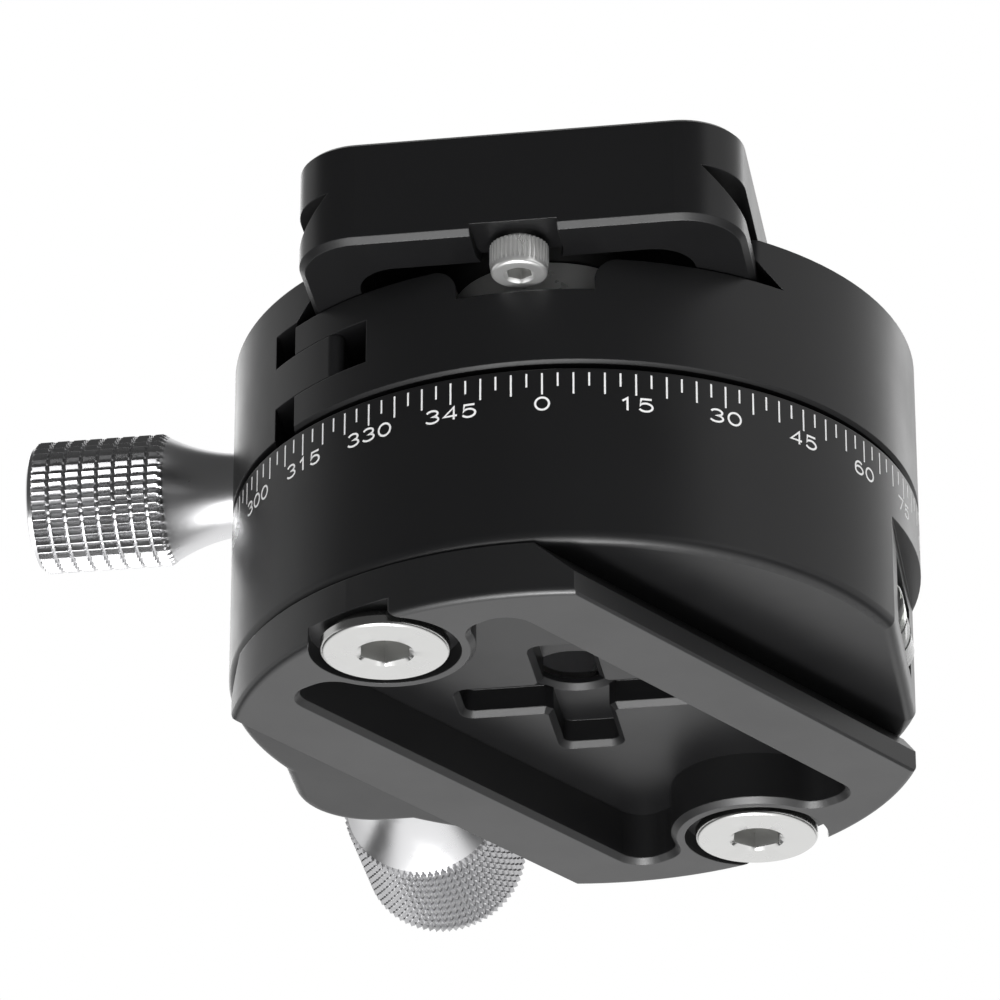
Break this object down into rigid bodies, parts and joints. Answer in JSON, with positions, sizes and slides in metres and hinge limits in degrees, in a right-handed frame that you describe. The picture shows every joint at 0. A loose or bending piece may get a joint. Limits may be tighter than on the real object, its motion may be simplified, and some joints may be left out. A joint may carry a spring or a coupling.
{
  "type": "panoramic tripod head",
  "caption": "Panning tripod head: round graduated base with dovetail foot and level, rotating screw-knob clamp with sliding jaw, and a quick-release plate",
  "frame": {"origin": "On the pan axis, at the underside of the dovetail foot", "axes": "+Z is the pan axis, from the foot up to the plate. +Y is the direction in which the plate slides, away from the side with the zero of the scale. -X is the side of the sliding jaw and its knob."},
  "size_m": [0.0782, 0.0807, 0.0462],
  "materials": {
    "foot_black": "black anodised, satin",
    "screw_steel": "turned stainless steel",
    "base_black": "black anodised, satin, white engraved scale",
    "vial_glass": "clear glass with liquid",
    "washer_polymer": "low-friction polymer",
    "hub_aluminium": "turned",
    "brass": "turned",
    "stud_steel": "threaded steel",
    "washer_black": "low-friction polymer",
    "knob_silver": "machined, knurled, bright",
    "clamp_black": "black anodised, satin",
    "plate_black": "black anodised, satin",
    "pad_rubber": "matt rubber"
  },
  "bodies": {
    "base": {"foot_plate": "foot_black", "foot_screws": "screw_steel", "dial_base": "base_black", "level_vial": "vial_glass", "lower_thrust_washer": "washer_polymer", "upper_thrust_washer": "washer_polymer", "retaining_nut": "hub_aluminium", "lock_washer": "washer_black"},
    "clamp": {"pan_hub": "hub_aluminium", "hub_screws": "screw_steel", "clamp_body": "clamp_black", "clamp_stud": "stud_steel", "jaw_spring": "stud_steel"},
    "jaw": {"sliding_jaw": "clamp_black", "knob_washer": "washer_black"},
    "jaw_knob": {"clamp_knob": "knob_silver"},
    "lock": {"lock_knob": "knob_silver", "lock_stud": "stud_steel"},
    "shoe": {"brake_shoe": "brass"},
    "plate": {"qr_plate": "plate_black", "grip_pads": "pad_rubber", "front_stop_screw": "screw_steel", "rear_stop_screw": "screw_steel"},
    "screw_carrier": {"screw_clip": "washer_black"},
    "screw": {"camera_screw": "screw_steel"}
  },
  "joints": [
    {"name": "pan", "type": "hinge", "parent": "base", "child": "clamp", "pos_m": [0, 0, 0], "axis": [0, 0, 1], "continuous": true},
    {"name": "jaw_slide", "type": "slide", "parent": "clamp", "child": "jaw", "axis": [-1, 0, 0], "range_m": [0, 0.0036], "deforming": ["jaw_spring"]},
    {"name": "clamp_knob_turn", "type": "hinge", "parent": "jaw", "child": "jaw_knob", "pos_m": [-0.04, 0, 0.02665], "axis": [-1, 0, 0], "range_deg": [0, 1296]},
    {"name": "lock_knob_turn", "type": "hinge", "parent": "base", "child": "lock", "pos_m": [-0.0187, 0.03, 0.0104], "axis": [0, 1, 0], "range_deg": [0, 270]},
    {"name": "shoe_slide", "type": "slide", "parent": "base", "child": "shoe", "axis": [0, 1, 0], "range_m": [0, 0.0006]},
    {"name": "plate_slide", "type": "slide", "parent": "clamp", "child": "plate", "axis": [0, 1, 0], "range_m": [-0.012, 0.012]},
    {"name": "camera_screw_slide", "type": "slide", "parent": "plate", "child": "screw_carrier", "axis": [0, 1, 0], "range_m": [-0.001, 0.026]},
    {"name": "camera_screw_turn", "type": "hinge", "parent": "screw_carrier", "child": "screw", "pos_m": [-0.0002, -0.013, 0.04], "axis": [0, 0, 1], "continuous": true}
  ],
  "couplings": [
    {"joint": "clamp_knob_turn", "follows": "jaw_slide", "rad_per_m": 6283.2},
    {"joint": "lock_knob_turn", "follows": "shoe_slide", "rad_per_m": 7854}
  ]
}
